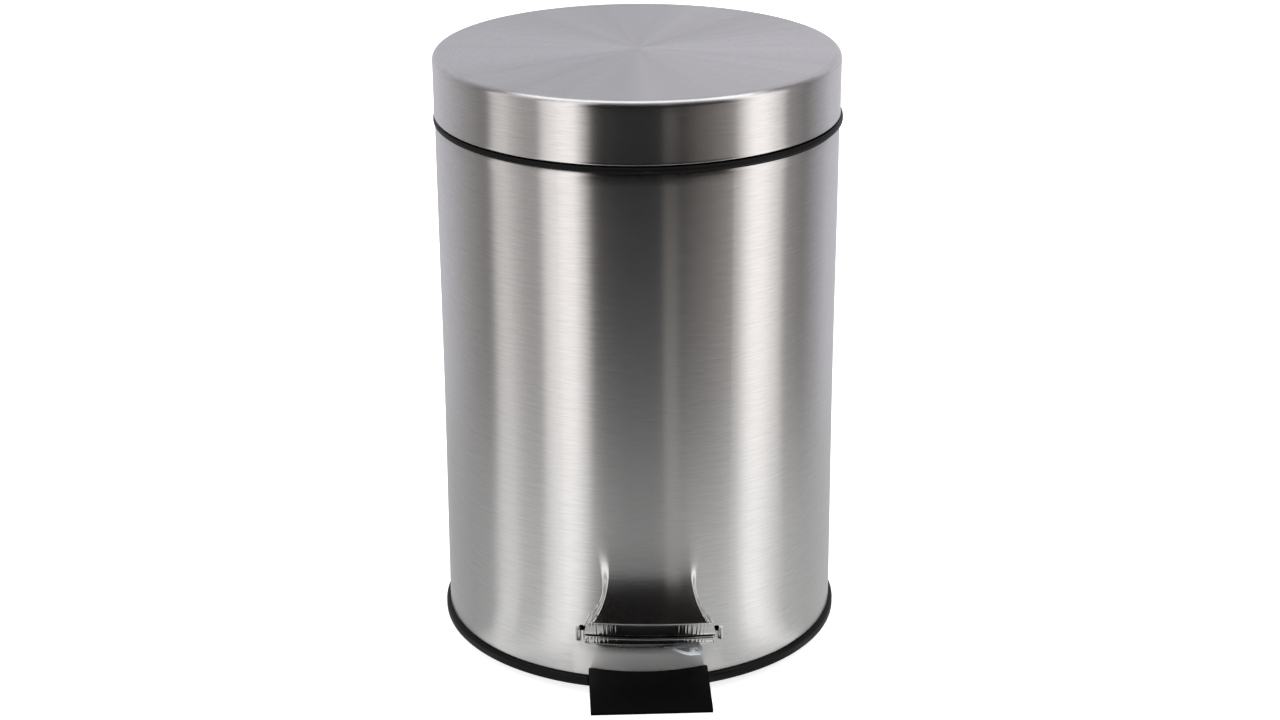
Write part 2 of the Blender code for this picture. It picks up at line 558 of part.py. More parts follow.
cut(lid_arm,
    box("arm_inside", (-4.6, 40.0, 200.0), (4.6, 120.0, 250.5)),
    outline("arm_slot", slot_shape, -20.0, 20.0, None, plane="YZ"),
    cylinder("arm_axle_hole", (0.0, P_Y, P_Z), 2.06, 40.0, axis="X", steps=24))
for index, y in enumerate((60.0, 74.0)):
    turned_at("arm_screw_" + ("front", "rear")[index],
              [(0.0, 5.6), (0.6, 5.6), (1.4, 4.8), (1.4, 1.7), (2.8, 1.7), (2.8, 0.8), (2.0, 0.0), (0.0, 0.0)],
              "zinc", (0.0, y, 248.4), (0, 0, 1))
    hole = cylinder("arm_screw_hole_%d" % index, (0.0, y, 252.4), 1.75, 3.9, steps=12)
    cut(lid_arm, hole)
    cut(lid_liner, cylinder("liner_screw_hole_%d" % index, (0.0, y, 253.0), 1.75, 4.0, steps=12))

bumpers = []
for index, azimuth in enumerate((0.0, 70.0, 290.0)):
    x, y, _ = polar(azimuth, 82.0, 0.0)
    bumpers.append(turned_at("lid_bumper_" + ("front", "right", "left")[index],
                             [(0.0, 0.7), (1.3, 0.7), (1.3, 0.3), (0.9, 0.0), (0.0, 0.0)], "rubber",
                             (x, y, RING_TOP + GAP), (0, 0, 1), steps=16))

# ------------------------------------------------------------------ inner bucket and its bail
inner_bucket = turned("inner_bucket", [
    (0.0, 36.5), (60.4, 36.5), (67.6, BUCKET_TOP), (BUCKET_RIM_R, BUCKET_TOP), (BUCKET_RIM_R, SHELF_TOP + GAP),
    (68.8, SHELF_TOP + GAP), (62.0, 36.0), (61.0, BUCKET_BOTTOM), (0.0, BUCKET_BOTTOM)], "bucket", steps=48)
for side in (-1, 1):
    x0, x1 = sorted((68.9 * side, 70.6 * side))
    ear = outline("bail_ear_%d" % (side + 2),
                  [(-5.0, 225.0), (5.0, 225.0), (5.0, 229.0)] + arc(0.0, BAIL_Z, 3.6, 10, 170, 6) + [(-5.0, 229.0)],
                  x0, x1, None, plane="YZ")
    join(inner_bucket, ear)
cut(inner_bucket,
    cylinder("bail_holes", (0.0, 0.0, BAIL_Z), BAIL_WIRE + 0.35, 150.0, axis="X", steps=16),
    box("rim_clearance", (-8.5, 69.4, 220.0), (8.5, 80.0, 240.0)))

bail_path = [(-66.8, 0.0), (-72.6, 0.0)] + [(x, y) for x, y in arc(-72.6, -2.0, 2.0, 120, 180, 2)]
bail_path += [(x, y) for x, y in arc(0.0, 0.0, BAIL_R, 184, 356, 36)]
bail_path += [(x, y) for x, y in arc(72.6, -2.0, 2.0, 0, 60, 2)] + [(72.6, 0.0), (66.8, 0.0)]
bucket_bail = wire("bucket_bail", [(x, y, 0.0) for x, y in bail_path], BAIL_WIRE, "wire")
bucket_bail.location = (0.0, CAN_Y * MM, BAIL_Z * MM)
bucket_bail.rotation_euler = (BAIL_DROOP, 0.0, 0.0)

# ------------------------------------------------------------------ what moves with what
named = bpy.data.objects
carry(axis_empty("lid_axis", P_Y, P_Z), lid_shell, lid_liner, lid_arm, named["arm_screw_front"],
      named["arm_screw_rear"], *bumpers)
carry(axis_empty("pedal_axis", *LEVER_AXIS), pedal_lever, pedal_pad, named["pad_rivet_left"],
      named["pad_rivet_right"])
carry(axis_empty("rod_axis", ROD_Y, HOOK_LOW_Z), push_rod, rod_clip_top, rod_clip_low)
carry(axis_empty("bucket_axis", 0.0, BUCKET_BOTTOM), inner_bucket)
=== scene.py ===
import math

import bmesh
import bpy
from mathutils import Matrix, Vector


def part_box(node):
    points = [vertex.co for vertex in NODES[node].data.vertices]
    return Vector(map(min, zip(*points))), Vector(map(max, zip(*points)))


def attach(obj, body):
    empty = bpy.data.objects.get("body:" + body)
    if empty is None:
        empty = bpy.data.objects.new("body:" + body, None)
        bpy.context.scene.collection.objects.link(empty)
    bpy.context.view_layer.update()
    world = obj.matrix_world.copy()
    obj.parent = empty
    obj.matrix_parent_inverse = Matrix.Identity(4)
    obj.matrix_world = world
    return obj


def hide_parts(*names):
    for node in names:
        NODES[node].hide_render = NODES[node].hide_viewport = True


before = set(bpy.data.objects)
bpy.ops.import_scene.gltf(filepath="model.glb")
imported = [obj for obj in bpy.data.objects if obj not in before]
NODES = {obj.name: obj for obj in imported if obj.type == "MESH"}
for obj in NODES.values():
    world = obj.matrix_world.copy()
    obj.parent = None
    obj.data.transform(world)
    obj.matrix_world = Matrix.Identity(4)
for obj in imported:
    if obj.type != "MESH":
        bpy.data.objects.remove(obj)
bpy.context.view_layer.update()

MM = 0.001
_lo, _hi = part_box("lid_shell")
CAN_X = (_lo.x + _hi.x) / 2
CAN_Y = (_lo.y + _hi.y) / 2
CAN = Vector((CAN_X, CAN_Y, 0.0))
LID_R = (_hi.x - _lo.x) / 2 / MM
LID_BOTTOM, LID_TOP = _lo.z / MM, _hi.z / MM
BODY_R = (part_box("body_shell")[1].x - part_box("body_shell")[0].x) / 2 / MM
BODY_BOTTOM, BODY_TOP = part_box("body_shell")[0].z / MM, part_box("body_shell")[1].z / MM
BASE_R = (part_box("base_tray")[1].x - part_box("base_tray")[0].x) / 2 / MM
RING_R = (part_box("top_collar")[1].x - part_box("top_collar")[0].x) / 2 / MM
RING_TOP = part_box("top_collar")[1].z / MM

# ================================================================= camera
# A long lens a metre away, looking down about twenty degrees, a little to the left of the pedal.
PEDAL_TURN = math.radians(2.4)
DIST, HEIGHT, PITCH, ROLL = 985.97, 497.85, math.radians(20.382), math.radians(-0.2507)
cam_data = bpy.data.cameras.new("camera")
cam_data.sensor_width = 36.0
cam_data.lens = 2449.4 / 1280.0 * 36.0
cam_data.shift_x = 1.08 / 1280.0
cam_data.shift_y = -30.61 / 1280.0
cam_data.clip_start, cam_data.clip_end = 0.05, 60.0
camera = bpy.data.objects.new("camera", cam_data)
bpy.context.scene.collection.objects.link(camera)
camera.matrix_world = (
    Matrix.Translation(CAN) @ Matrix.Rotation(-PEDAL_TURN, 4, "Z")
    @ Matrix.Translation(Vector((0.3, -DIST, HEIGHT)) * MM)
    @ Matrix.Rotation(math.radians(90.0) - PITCH, 4, "X") @ Matrix.Rotation(ROLL, 4, "Z"))
bpy.context.scene.camera = camera
bpy.context.scene.view_settings.view_transform = "Standard"
bpy.context.scene.view_settings.look = "None"


# ================================================================= node helpers
class Graph:
    """Small wrapper for writing node graphs in order."""

    def __init__(self, tree):
        self.tree = tree
        self.x = 0

    def node(self, kind, **settings):
        n = self.tree.nodes.new(kind)
        self.x += 180
        n.location = (self.x, 0)
        for key, value in settings.items():
            setattr(n, key, value)
        return n

    def link(self, a, b):
        self.tree.links.new(a, b)

    def put(self, socket, value):
        if isinstance(value, bpy.types.NodeSocket):
            self.link(value, socket)
        else:
            socket.default_value = value

    def math(self, op, a, b=0.0, c=0.0, clamp=False):
        n = self.node("ShaderNodeMath", operation=op, use_clamp=clamp)
        self.put(n.inputs[0], a)
        self.put(n.inputs[1], b)
        if op in ("MULTIPLY_ADD", "SMOOTH_MIN", "SMOOTH_MAX"):
            self.put(n.inputs[2], c)
        return n.outputs[0]

    def separate(self, vector):
        n = self.node("ShaderNodeSeparateXYZ")
        self.link(vector, n.inputs[0])
        return n.outputs[0], n.outputs[1], n.outputs[2]

    def combine(self, x, y, z):
        n = self.node("ShaderNodeCombineXYZ")
        for s, v in zip(n.inputs, (x, y, z)):
            self.put(s, v)
        return n.outputs[0]

    def noise(self, vector, scale, detail=2.0, rough=0.5, distortion=0.0):
        n = self.node("ShaderNodeTexNoise")
        self.link(vector, n.inputs["Vector"])
        n.inputs["Scale"].default_value = scale
        n.inputs["Detail"].default_value = detail
        n.inputs["Roughness"].default_value = rough
        n.inputs["Distortion"].default_value = distortion
        return n.outputs[0]

    def ramp(self, fac, stops, interpolation="LINEAR"):
        n = self.node("ShaderNodeValToRGB")
        n.color_ramp.interpolation = interpolation
        els = n.color_ramp.elements
        while len(els) > 1:
            els.remove(els[-1])
        for i, (pos, value) in enumerate(stops):
            colour = value if isinstance(value, tuple) else (value, value, value)
            e = els[0] if i == 0 else els.new(pos)
            e.position = pos
            e.color = (*colour, 1.0)
        self.link(fac, n.inputs[0])
        return n.outputs[0]

    def span(self, value, a, b, c, d):
        n = self.node("ShaderNodeMapRange")
        self.link(value, n.inputs["Value"])
        for name, v in zip(("From Min", "From Max", "To Min", "To Max"), (a, b, c, d)):
            n.inputs[name].default_value = v
        return n.outputs[0]

    def bump(self, height, strength, distance, normal=None):
        n = self.node("ShaderNodeBump")
        self.link(height, n.inputs["Height"])
        n.inputs["Strength"].default_value = strength
        n.inputs["Distance"].default_value = distance
        if normal is not None:
            self.link(normal, n.inputs["Normal"])
        return n.outputs[0]

    def mix(self, fac, a, b, blend="MIX"):
        n = self.node("ShaderNodeMix", data_type="RGBA", blend_type=blend)
        self.put(n.inputs[0], fac)
        for s, v in ((n.inputs[6], a), (n.inputs[7], b)):
            self.put(s, (*v, 1.0) if isinstance(v, tuple) and len(v) == 3 else v)
        return n.outputs[2]


def new_material(name):
    mat = bpy.data.materials.new(name)
    mat.use_nodes = True
    shader = mat.node_tree.nodes["Principled BSDF"]
    return mat, shader, Graph(mat.node_tree)


# ================================================================= materials
def brushed_steel(name, rough, hem=0.0, fan_above=None):
    """Stainless sheet brushed round the can's axis, which is the object's own Z axis."""
    mat, bsdf, g = new_material(name)
    at = g.node("ShaderNodeTexCoord").outputs["Object"]
    x, y, z = g.separate(at)
    r = g.math("MAXIMUM", g.math("SQRT", g.math("ADD", g.math("MULTIPLY", x, x), g.math("MULTIPLY", y, y))), 0.0004)
    ux, uy = g.math("DIVIDE", x, r), g.math("DIVIDE", y, r)
    run = g.math("ADD", z, r)
    # hairlines: long round the can, a tenth to one millimetre apart
    fine = g.noise(g.combine(g.math("MULTIPLY", ux, 16.0), g.math("MULTIPLY", uy, 16.0),
                             g.math("MULTIPLY", run, 5200.0)), 1.0, 2.0, 0.6)
    coarse = g.noise(g.combine(g.math("MULTIPLY", ux, 9.0), g.math("MULTIPLY", uy, 9.0),
                               g.math("MULTIPLY", run, 2400.0)), 1.0, 2.0, 0.55)
    patch = g.noise(g.combine(g.math("MULTIPLY", ux, 1.6), g.math("MULTIPLY", uy, 1.6),
                              g.math("MULTIPLY", run, 26.0)), 1.0, 2.0, 0.5)
    lines = g.math("ADD", g.math("MULTIPLY", fine, 0.4), g.math("MULTIPLY", coarse, 0.6))
    tone = g.ramp(lines, [(0.34, (0.598, 0.592, 0.586)), (0.50, (0.638, 0.633, 0.628)), (0.66, (0.678, 0.675, 0.672))])
    if hem:
        # duller steel under the mouth, painted paler as painted light that lifts the brightness between the lip and the
        # pedal
        under = g.math("MULTIPLY", g.span(z, 0.0190, 0.0230, 1.0, 0.0), g.span(uy, -0.968, -0.925, 1.0, 0.0))
        tone = g.mix(under, tone, (0.90, 0.89, 0.88))
    if fan_above is not None:
        # the spun finish on the flat top: faint rays that fan out from the middle, a painted sheen standing in for the
        # radial shine of spun steel
        rays = g.noise(g.combine(g.math("MULTIPLY", ux, 3.4), g.math("MULTIPLY", uy, 3.4), 0.0), 1.0, 3.0, 0.65)
        on_top = g.span(z, fan_above - 0.0015, fan_above - 0.0003, 0.0, 1.0)
        fan = g.ramp(rays, [(0.30, 0.93), (0.50, 0.98), (0.70, 1.03)])
        tone = g.mix(on_top, tone, g.mix(1.0, tone, fan, "MULTIPLY"))
    g.link(tone, bsdf.inputs["Base Color"])
    uneven = g.math("ADD", g.span(lines, 0.25, 0.75, rough - 0.008, rough + 0.008),
                    g.span(patch, 0.3, 0.7, -0.006, 0.006))
    if hem:
        # and drawn brighter where the press has stretched the hood
        uneven = g.math("ADD", uneven, g.math("MULTIPLY", under, hem))
        uneven = g.math("ADD", uneven, g.span(r, (BODY_R + 0.1) * MM, (BODY_R + 1.3) * MM, 0.0, -0.080))
    g.link(uneven, bsdf.inputs["Roughness"])
    g.link(g.bump(lines, 0.007, 0.00003), bsdf.inputs["Normal"])
    bsdf.inputs["Metallic"].default_value = 1.0
    # painted light: less metal under the mouth lets the room's light fall on the paler tone there
    if hem:
        g.link(g.math("SUBTRACT", 1.0, g.math("MULTIPLY", under, 0.22)), bsdf.inputs["Metallic"])
    bsdf.inputs["Anisotropic"].default_value = 1.0
    bsdf.inputs["Anisotropic Rotation"].default_value = 0.25
    tangent = g.node("ShaderNodeTangent", direction_type="RADIAL", axis="Z")
    g.link(tangent.outputs[0], bsdf.inputs["Tangent"])
    return mat


def moulded_plastic(name, colour, rough, grain=2600.0, grain_depth=0.00003, spec=0.5, wear=0.35):
    """Moulded plastic: fine spark texture, faint flow marks and lighter rubbed edges."""
    mat, bsdf, g = new_material(name)
    at = g.node("ShaderNodeTexCoord").outputs["Object"]
    pits = g.noise(at, grain, 2.0, 0.6)
    flow = g.noise(at, 38.0, 4.0, 0.6, 0.6)
    dust = g.noise(at, 900.0, 3.0, 0.7)
    geo = g.node("ShaderNodeNewGeometry")
    edge = g.ramp(geo.outputs["Pointiness"], [(0.50, 0.0), (0.60, 1.0)])
    light = tuple(min(1.0, c * 2.2 + 0.012) for c in colour)
    base = g.mix(g.span(flow, 0.35, 0.7, 0.0, 0.5), colour, tuple(c * 1.5 + 0.0006 for c in colour))
    base = g.mix(g.math("MULTIPLY", edge, wear), base, light)
    base = g.mix(g.ramp(dust, [(0.70, 0.0), (0.80, 0.25)]), base, tuple(c + 0.012 for c in colour))
    g.link(base, bsdf.inputs["Base Color"])
    g.link(g.math("ADD", g.span(flow, 0.3, 0.7, rough - 0.05, rough + 0.05), g.span(pits, 0.3, 0.7, -0.04, 0.04)),
           bsdf.inputs["Roughness"])
    g.link(g.bump(pits, 0.25, grain_depth), bsdf.inputs["Normal"])
    bsdf.inputs["Specular IOR Level"].default_value = spec
    return mat


def plated_zinc(name):
    mat, bsdf, g = new_material(name)
    at = g.node("ShaderNodeTexCoord").outputs["Object"]
    cloud = g.noise(at, 160.0, 4.0, 0.6, 0.4)
    rolled = g.noise(at, 2400.0, 2.0, 0.6)
    tint = g.ramp(cloud, [(0.30, (0.60, 0.66, 0.72)), (0.52, (0.76, 0.82, 0.87)), (0.72, (0.84, 0.85, 0.82))])
    g.link(tint, bsdf.inputs["Base Color"])
    g.link(g.math("ADD", g.span(cloud, 0.3, 0.7, 0.30, 0.42), g.span(rolled, 0.3, 0.7, -0.05, 0.05)), bsdf.inputs["Roughness"])
    g.link(g.bump(rolled, 0.25, 0.00003), bsdf.inputs["Normal"])
    bsdf.inputs["Metallic"].default_value = 1.0
    return mat


def bright_wire(name):
    mat, bsdf, g = new_material(name)
    at = g.node("ShaderNodeTexCoord").outputs["Object"]
    drawn = g.noise(at, 1500.0, 3.0, 0.6)
    dull = g.noise(at, 90.0, 3.0, 0.6)
    g.link(g.ramp(dull, [(0.35, (0.50, 0.50, 0.50)), (0.65, (0.63, 0.63, 0.62))]), bsdf.inputs["Base Color"])
    g.link(g.span(drawn, 0.3, 0.7, 0.16, 0.30), bsdf.inputs["Roughness"])
    g.link(g.bump(drawn, 0.15, 0.00003), bsdf.inputs["Normal"])
    bsdf.inputs["Metallic"].default_value = 1.0
    return mat


def rubber(name):
    mat, bsdf, g = new_material(name)
    at = g.node("ShaderNodeTexCoord").outputs["Object"]
    skin = g.noise(at, 1800.0, 3.0, 0.7)
    bloom = g.noise(at, 120.0, 3.0, 0.6)
    g.link(g.ramp(bloom, [(0.35, (0.018, 0.018, 0.018)), (0.70, (0.036, 0.036, 0.035))]), bsdf.inputs["Base Color"])
    g.link(g.span(skin, 0.3, 0.7, 0.62, 0.82), bsdf.inputs["Roughness"])
    g.link(g.bump(skin, 0.3, 0.00004), bsdf.inputs["Normal"])
    return mat


STEEL_BODY = brushed_steel("steel_body", 0.208, hem=0.32)
STEEL_LID = brushed_steel("steel_lid", 0.196, fan_above=LID_TOP * MM)
BLACK = moulded_plastic("black_plastic", (0.0022, 0.0021, 0.0024), 0.40, spec=0.12)
BLACK_PAD = moulded_plastic("pad_plastic", (0.0012, 0.0011, 0.0013), 0.50, grain=1900.0, grain_depth=0.00005, spec=0.04, wear=0.06)
BUCKET = moulded_plastic("bucket_plastic", (0.018, 0.018, 0.020), 0.46)
ZINC = plated_zinc("zinc_plate")
WIRE = bright_wire("bright_wire")
RUBBER = rubber("black_rubber")


# ================================================================= mesh helpers
def obj_from(name, bm, mat, smooth_deg=35.0, at_can=True):
    mesh = bpy.data.meshes.new(name)
    bmesh.ops.recalc_face_normals(bm, faces=bm.faces)
    bm.to_mesh(mesh)
    bm.free()
    mesh.shade_smooth()
    mesh.set_sharp_from_angle(angle=math.radians(smooth_deg))
    o = bpy.data.objects.new(name, mesh)
    if at_can:
        o.location = CAN
    bpy.context.scene.collection.objects.link(o)
    if mat is not None:
        mesh.materials.append(mat)
    return o


def polar(azimuth_deg, r, z):
    a = math.radians(azimuth_deg)
    return Vector((r * math.sin(a), -r * math.cos(a), z)) * MM


def arc(cx, cy, r, a0, a1, n):
    return [(cx + r * math.cos(math.radians(a0 + (a1 - a0) * i / n)),
             cy + r * math.sin(math.radians(a0 + (a1 - a0) * i / n))) for i in range(n + 1)]


def revolve(name, profile, mat, steps=180, smooth_deg=35.0):
    """Solid of revolution round the can's axis from a closed (radius, height) loop, in mm."""
    bm = bmesh.new()
    rings = []
    for r, z in profile:
        if r <= 1e-6:
            rings.append([bm.verts.new((0.0, 0.0, z * MM))])
        else:
            rings.append([bm.verts.new(polar(360.0 * i / steps, r, z)) for i in range(steps)])
    pairs = list(zip(rings, rings[1:]))
    if len(rings[0]) > 1 or len(rings[-1]) > 1:
        pairs.append((rings[-1], rings[0]))
    for a, b in pairs:
        for i in range(steps):
            j = (i + 1) % steps
            if len(a) == 1 and len(b) == 1:
                continue
            if len(a) == 1:
                bm.faces.new((a[0], b[i], b[j]))
            elif len(b) == 1:
                bm.faces.new((a[i], a[j], b[0]))
            else:
                bm.faces.new((a[i], a[j], b[j], b[i]))
    return obj_from(name, bm, mat, smooth_deg)


def block(name, lo, hi):
    bm = bmesh.new()
    bmesh.ops.create_cube(bm, size=1.0)
    for v in bm.verts:
        v.co = Vector([((lo[i] + hi[i]) / 2 + v.co[i] * (hi[i] - lo[i])) * MM for i in range(3)])
    return obj_from(name, bm, None)


def rod(name, centre, radius, length, axis="Z", steps=48):
    bm = bmesh.new()
    bmesh.ops.create_cone(bm, cap_ends=True, segments=steps, radius1=radius * MM, radius2=radius * MM, depth=length * MM)
    turn = {"Z": Matrix.Identity(4), "X": Matrix.Rotation(math.pi / 2, 4, "Y"), "Y": Matrix.Rotation(-math.pi / 2, 4, "X")}[axis]
    bm.transform(Matrix.Translation(Vector(centre) * MM) @ turn)
    return obj_from(name, bm, None)


def settle(obj, smooth_deg=35.0):
    """Applies the object's modifiers to its mesh."""
    bpy.context.view_layer.update()
    mesh = bpy.data.meshes.new_from_object(obj.evaluated_get(bpy.context.evaluated_depsgraph_get()))
    obj.modifiers.clear()
    old = obj.data
    obj.data = mesh
    bpy.data.meshes.remove(old)
    mesh.shade_smooth()
    mesh.set_sharp_from_angle(angle=math.radians(smooth_deg))
    return obj


def carve(obj, tools, joins=(), smooth_deg=35.0):
    for operation, group in (("UNION", joins), ("DIFFERENCE", tools)):
        for tool in group:
            m = obj.modifiers.new("b", "BOOLEAN")
            m.operation = operation
            m.object = tool
    settle(obj, smooth_deg)
    for tool in list(tools) + list(joins):
        mesh = tool.data
        bpy.data.objects.remove(tool, do_unlink=True)
        bpy.data.meshes.remove(mesh)
    return obj


def dress(node, mat, bevel=0.0, segments=2, smooth_deg=32.0):
    """A CAD node that stays: its finish, smooth shading and softened edges."""
    o = NODES[node]
    o.data.materials.clear()
    o.data.materials.append(mat)
    if bevel:
        weld = o.modifiers.new("weld", "WELD")
        weld.merge_threshold = 0.000004
        m = o.modifiers.new("soft_edges", "BEVEL")
        m.width = bevel * MM
        m.segments = segments
        m.limit_method = "ANGLE"
        m.angle_limit = math.radians(35.0)
        m.use_clamp_overlap = True
        m.harden_normals = False
    o.data.shade_smooth()
    o.data.set_sharp_from_angle(angle=math.radians(smooth_deg))


def smooth(t):
    t = max(0.0, min(1.0, t))
    return t * t * (3 - 2 * t)


# ================================================================= steel body with the pressed mouth
MOUTH = 20.0                     # half angle of the slit, degrees


def hood_half(z):
    return 10.5 + 5.7 * math.exp(-(z - 35.5) / 9.5)


def hood_rise(z):
    t = max(0.0, min(1.0, (77.0 - z) / 40.5))
    return 6.6 * t ** 2.9


def wrinkles(s):
    """Press wrinkles along the rolled lips, irregular round the can."""
    return 0.6 * math.cos(2 * math.pi * s / 1.02 + 1.5 * math.sin(s * 0.83)) + 0.4 * math.cos(2 * math.pi * s / 0.57 + 2.1 * math.sin(s * 1.7 + 0.6))


# rows through the mouth: (height on the plain cylinder, (stand-out, height) in the mouth, wrinkle)
MOUTH_AT = 0.5                   # the mouth stands a hair to the right of the pedal, degrees
HOOD_ROWS = [(31.0, 3.4, 30.3, 0.0), (31.4, 4.6, 30.2, 0.2), (31.9, 5.2, 30.6, 0.7), (32.5, 5.5, 31.4, 1.0), (33.2, 5.8, 32.5, 1.0),
             (33.9, 6.1, 33.7, 1.0), (34.6, 6.35, 34.8, 1.0), (35.2, 6.5, 35.7, 0.6), (35.8, 6.58, 36.3, 0.1), (36.3, 6.5, 36.7, 0.0)]
LIP_ROWS = [(22.0, 0.0, 22.0, 0.0), (22.8, 0.1, 22.9, 0.0), (23.4, 0.45, 23.6, 0.1), (24.0, 1.2, 24.1, 0.7), (24.5, 2.0, 24.5, 1.0),
            (25.1, 2.75, 25.2, 1.0), (25.8, 3.2, 26.0, 1.0), (26.6, 3.5, 26.9, 1.0), (27.3, 3.65, 27.7, 0.6), (27.9, 3.6, 28.3, 0.1),
            (28.4, 3.25, 28.7, 0.0), (28.9, 2.6, 28.9, 0.0), (29.4, 1.4, 28.9, 0.0)]


def make_body():
    inner = [-24.0 + 0.12 * i for i in range(134)] + [-7.8 + 0.24 * i for i in range(65)] + [7.8 + 0.12 * i for i in range(136)]
    outer = [24.0 + 2.0 * i for i in range(1, 156)]
    outer = [a for a in outer if a < 335.9]
    azimuths = inner + outer
    below = [BODY_BOTTOM, 9.0, 10.5, 12.2, 14.0, 16.0, 18.0, 19.6, 21.2]
    above = [36.9 + 0.8 * i for i in range(51)] + [78.0, 84.0, 96.0, 120.0, 150.0, 180.0, 205.0, 221.0, 223.4, 224.6, 225.4, 225.9, BODY_TOP]
    rows = ([(z, None) for z in below] + [(r[0], r[1:]) for r in LIP_ROWS] + [(r[0], r[1:]) for r in HOOD_ROWS]
            + [(z, None) for z in above])
    bm = bmesh.new()
    grid = []
    n = len(azimuths)
    for z0, press in rows:
        ring = []
        for a in azimuths:
            s = (a if a <= 180 else a - 360) - MOUTH_AT
            side = abs(s)
            # the sheet draws in very slightly at mid height and rolls over at its top edge
            r = BODY_R - 0.35 * math.sin(math.pi * min(1.0, max(0.0, (z0 - 12.0) / 205.0))) ** 2
            if z0 > 222.5:
                t = (z0 - 222.5) / (BODY_TOP - 222.5)
                r -= 0.9 * t * t
            z = z0
            if press is None:
                if z0 > 35.0:
                    half = hood_half(z0)
                    wide = 0.85 + 4.0 * smooth((z0 - 42.0) / 32.0)
                    r += hood_rise(z0) * (1.0 - smooth((side - half) / wide))
            else:
                out, zp, wrinkle = press
                if z0 >= 31.0:
                    half, wide = 16.3 + 0.35 * (36.3 - z0), 0.8
                else:
                    half, wide = 17.6, 1.5
                m = 1.0 - smooth((side - half) / wide)
                fade = 1.0 - smooth((side - half + 1.0) / 1.2)
                r += (out + (0.06 if z0 >= 31.0 else 0.08) * wrinkle * fade * wrinkles(s)) * m
                z = z0 + (zp - z0) * m
                r += 0.9 * math.exp(-((side - 17.9) / 0.55) ** 2 - ((z0 - 25.6) / 0.9) ** 2)
                # small upright ears where the rolled edges end
                r += 1.25 * math.exp(-((side - 20.5) / 0.42) ** 2) * smooth((z0 - 24.0) / 1.0) * (1.0 - smooth((z0 - 30.6) / 0.8))
            arch = 0.05 * s + 1.3 * (s / 18.5) ** 2
            z -= arch * smooth((23.4 - side) / 3.0) * smooth((z0 - 22.6) / 4.0) * (1.0 - smooth((z0 - 36.0) / 14.0))
            ring.append(bm.verts.new(polar(a, r, z)))
        grid.append(ring)
    for i in range(len(rows) - 1):
        z_low, z_high = rows[i][0], rows[i + 1][0]
        for j in range(n):
            k = (j + 1) % n
            mid = azimuths[j] + (azimuths[k] - azimuths[j] if k else 360.0 - azimuths[j] + azimuths[0]) / 2
            mid = (mid if mid <= 180 else mid - 360) - MOUTH_AT
            if z_low >= 29.3 and z_high <= 31.1 and abs(mid) < 18.9:
                continue                                           # the slit
            if 29.3 <= z_low < 31.8 and 18.8 < abs(mid) < 20.0:
                continue                                           # relief cuts at its corners
            if z_high <= 10.6 and abs(mid) < 10.0:
                continue                                           # the lever's way out
            if 3.9 < mid < 14.3 and 21.9 <= z_low and z_high <= 23.5:
                continue                                           # the clip's slot
            bm.faces.new((grid[i][j], grid[i][k], grid[i + 1][k], grid[i + 1][j]))
    for v in [v for v in bm.verts if not v.link_faces]:
        bm.verts.remove(v)
    bmesh.ops.recalc_face_normals(bm, faces=bm.faces)
    probe = max(bm.faces, key=lambda f: f.calc_center_median().x)
    if probe.normal.x < 0:
        bmesh.ops.reverse_faces(bm, faces=bm.faces)
    mesh = bpy.data.meshes.new("steel_body")
    bm.to_mesh(mesh)
    bm.free()
    o = bpy.data.objects.new("steel_body", mesh)
    o.location = CAN
    bpy.context.scene.collection.objects.link(o)
    mesh.materials.append(STEEL_BODY)
    skin = o.modifiers.new("sheet", "SOLIDIFY")
    skin.thickness = 0.5 * MM
    skin.offset = -1.0
    settle(o, 40.0)
    holes = [rod("hole", (8.0 * s, 83.5, 211.0), 1.9, 8.0, "Y", 24) for s in (-1, 1)]
    return carve(o, holes, smooth_deg=40.0)


body = make_body()
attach(body, "bin")
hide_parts("body_shell")

# ================================================================= lid
T = 0.6
lid_profile = [(0.0, LID_TOP)] + [(r, LID_TOP) for r in (2.0, 6.0, 15.0, 30.0, 50.0, 70.0, 78.0)]
lid_profile += arc(LID_R - 3.0, LID_TOP - 3.0, 3.0, 90, 0, 12)
lid_profile += [(LID_R - 0.05, LID_TOP - 6.0), (LID_R - 0.12, (LID_TOP + LID_BOTTOM) / 2), (LID_R - 0.12, LID_BOTTOM + 2.2),
                (LID_R - 0.08, LID_BOTTOM + 1.5)]
lid_profile += arc(LID_R - 0.55, LID_BOTTOM + 0.55, 0.55, 35, -180, 10)
lid_profile += [(LID_R - 1.15, LID_BOTTOM + 1.6), (LID_R - T - 0.12, LID_BOTTOM + 2.4), (LID_R - T - 0.12, LID_TOP - 6.0)]
lid_profile += arc(LID_R - 3.0, LID_TOP - 3.0, 3.0 - T, 0, 90, 8)
lid_profile += [(40.0, LID_TOP - T), (0.0, LID_TOP - T)]
lid = revolve("steel_lid", lid_profile, STEEL_LID, 240, 50.0)
carve(lid, [block("n", (-7.2, 74.0, 220.0), (7.2, 95.0, 244.4))], smooth_deg=50.0)
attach(lid, "lid")
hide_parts("lid_shell")

liner = revolve("lid_lining", [
    (0.0, 254.0), (79.6, 254.0)] + arc(80.2, 250.8, 3.2, 78, 10, 5) + [(83.4, 250.2), (83.4, 230.6)]
    + arc(83.0, 230.6, 0.4, -10, -80, 3) + [(81.0, 230.2)] + arc(81.0, 230.6, 0.4, -90, -180, 3)
    + [(80.6, 231.6), (82.0, 231.7), (82.0, 250.0)] + arc(79.4, 250.0, 2.4, 15, 80, 5)
    + [(60.0, 252.4), (59.4, 252.0), (58.0, 252.0), (57.4, 252.4), (34.0, 252.4), (33.4, 252.0), (32.0, 252.0), (31.4, 252.4), (0.0, 252.4)],
    BLACK, 180)
carve(liner, [block("n", (-8.6, 74.0, 220.0), (8.6, 95.0, 244.4))]
      + [rod("h", (0.0, y, 253.0), 1.75, 4.0) for y in (60.0, 74.0)])
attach(liner, "lid")
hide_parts("lid_liner")

